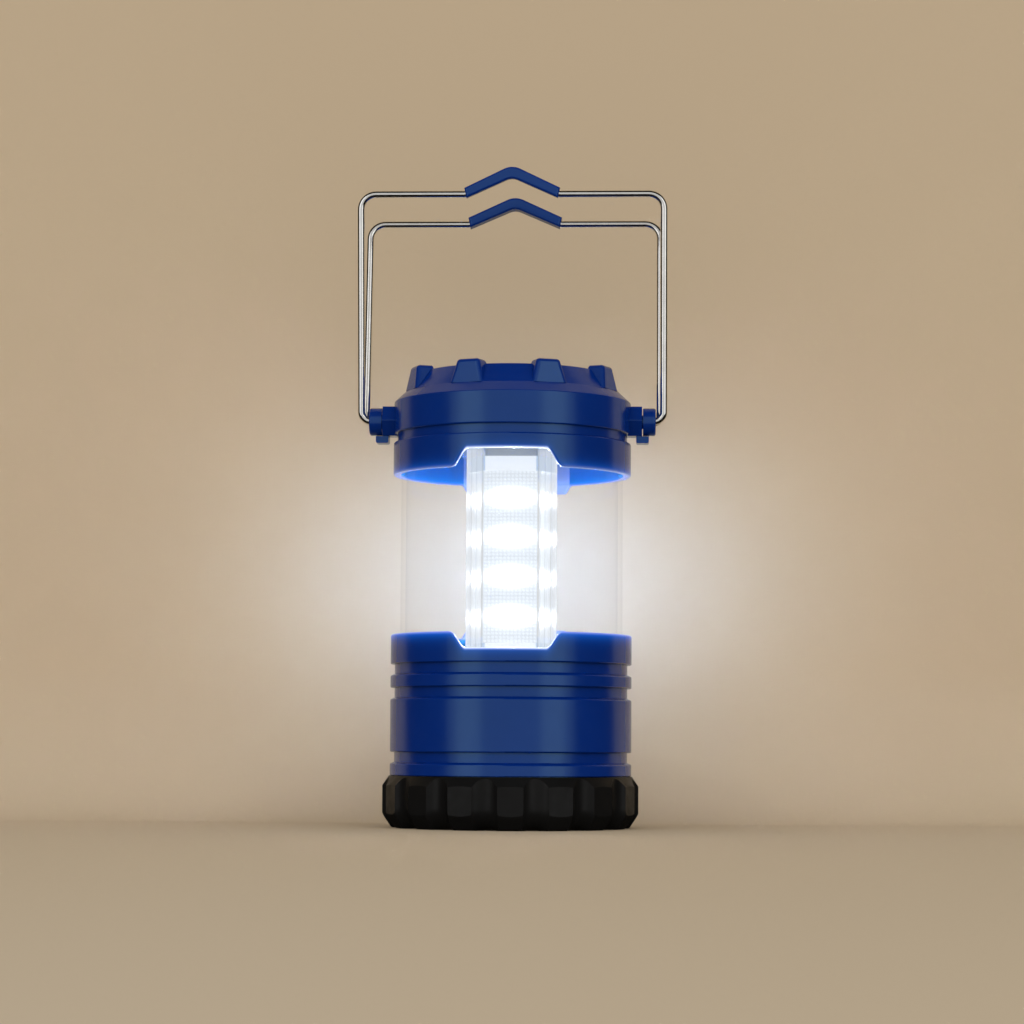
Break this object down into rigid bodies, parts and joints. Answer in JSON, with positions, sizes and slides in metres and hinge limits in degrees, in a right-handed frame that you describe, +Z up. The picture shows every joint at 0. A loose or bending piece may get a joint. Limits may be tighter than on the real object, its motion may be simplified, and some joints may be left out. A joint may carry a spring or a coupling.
{
  "type": "collapsible camping lantern",
  "caption": "Collapsible LED camping lantern: blue cap and body, clear sliding tube around a lit column, black fluted twist-off base and folding wire handles.",
  "frame": {"origin": "centre of the base cover's underside, on the surface that the lantern stands on", "axes": "+Z up along the lantern's axis, -Y towards the front window, +X to the right in the front view"},
  "size_m": [0.1114, 0.0914, 0.236],
  "materials": {
    "blue_plastic": "satin moulded plastic",
    "core_plastic": "satin moulded plastic",
    "black_plastic": "fine matt texture",
    "clear_plastic": "clear and polished",
    "white_plastic": "smooth",
    "diffuser_plastic": "frosted with fine beads",
    "circuit_board": "white solder mask",
    "led": "lit",
    "board_parts": "moulded",
    "contact_metal": "nickel plated",
    "cell_jacket": "plain wrapped jacket",
    "screw_steel": "zinc plated",
    "handle_wire": "polished plating",
    "seal_rubber": "smooth"
  },
  "bodies": {
    "base": {"body_shell": "blue_plastic", "battery_core": "core_plastic", "battery_cell_1": "cell_jacket", "battery_cell_2": "cell_jacket", "battery_cell_3": "cell_jacket", "top_contacts": "contact_metal", "switch_strips": "contact_metal"},
    "base_cover": {"base_cover": "black_plastic", "base_seal": "seal_rubber", "cover_board": "circuit_board", "leaf_contacts": "contact_metal"},
    "head": {"clear_tube": "clear_plastic", "cap_skirt": "blue_plastic", "top_cap": "blue_plastic", "cap_screws": "screw_steel", "driver_board": "circuit_board", "driver_parts": "board_parts", "column_cover": "clear_plastic", "column_core": "white_plastic", "column_foot": "white_plastic", "column_screws": "screw_steel", "wiper_pads": "contact_metal", "lower_collar": "white_plastic", "upper_collar": "white_plastic", "diffuser_front": "diffuser_plastic", "diffuser_right": "diffuser_plastic", "diffuser_left": "diffuser_plastic", "led_board_front": "circuit_board", "led_board_right": "circuit_board", "led_board_left": "circuit_board", "led_chips": "led", "pivot_knob_left": "blue_plastic", "pivot_knob_right": "blue_plastic", "pivot_clip_left": "blue_plastic", "pivot_clip_right": "blue_plastic"},
    "front_handle": {"front_handle_wire": "handle_wire", "front_handle_grip": "blue_plastic"},
    "rear_handle": {"rear_handle_wire": "handle_wire", "rear_handle_grip": "blue_plastic"}
  },
  "joints": [
    {"name": "head_slide", "type": "slide", "parent": "base", "child": "head", "axis": [0, 0, 1], "range_m": [-0.0492, 0]},
    {"name": "front_handle_hinge", "type": "hinge", "parent": "head", "child": "front_handle", "pos_m": [0, -0.00235, 0.1454], "axis": [1, 0, 0], "range_deg": [-7.2, 142]},
    {"name": "rear_handle_hinge", "type": "hinge", "parent": "head", "child": "rear_handle", "pos_m": [0, 0.00235, 0.1454], "axis": [-1, 0, 0], "range_deg": [-7.2, 139]},
    {"name": "base_cover_twist", "type": "hinge", "parent": "base", "child": "base_cover", "pos_m": [0, 0, 0], "axis": [0, 0, 1], "range_deg": [0, 35]}
  ]
}
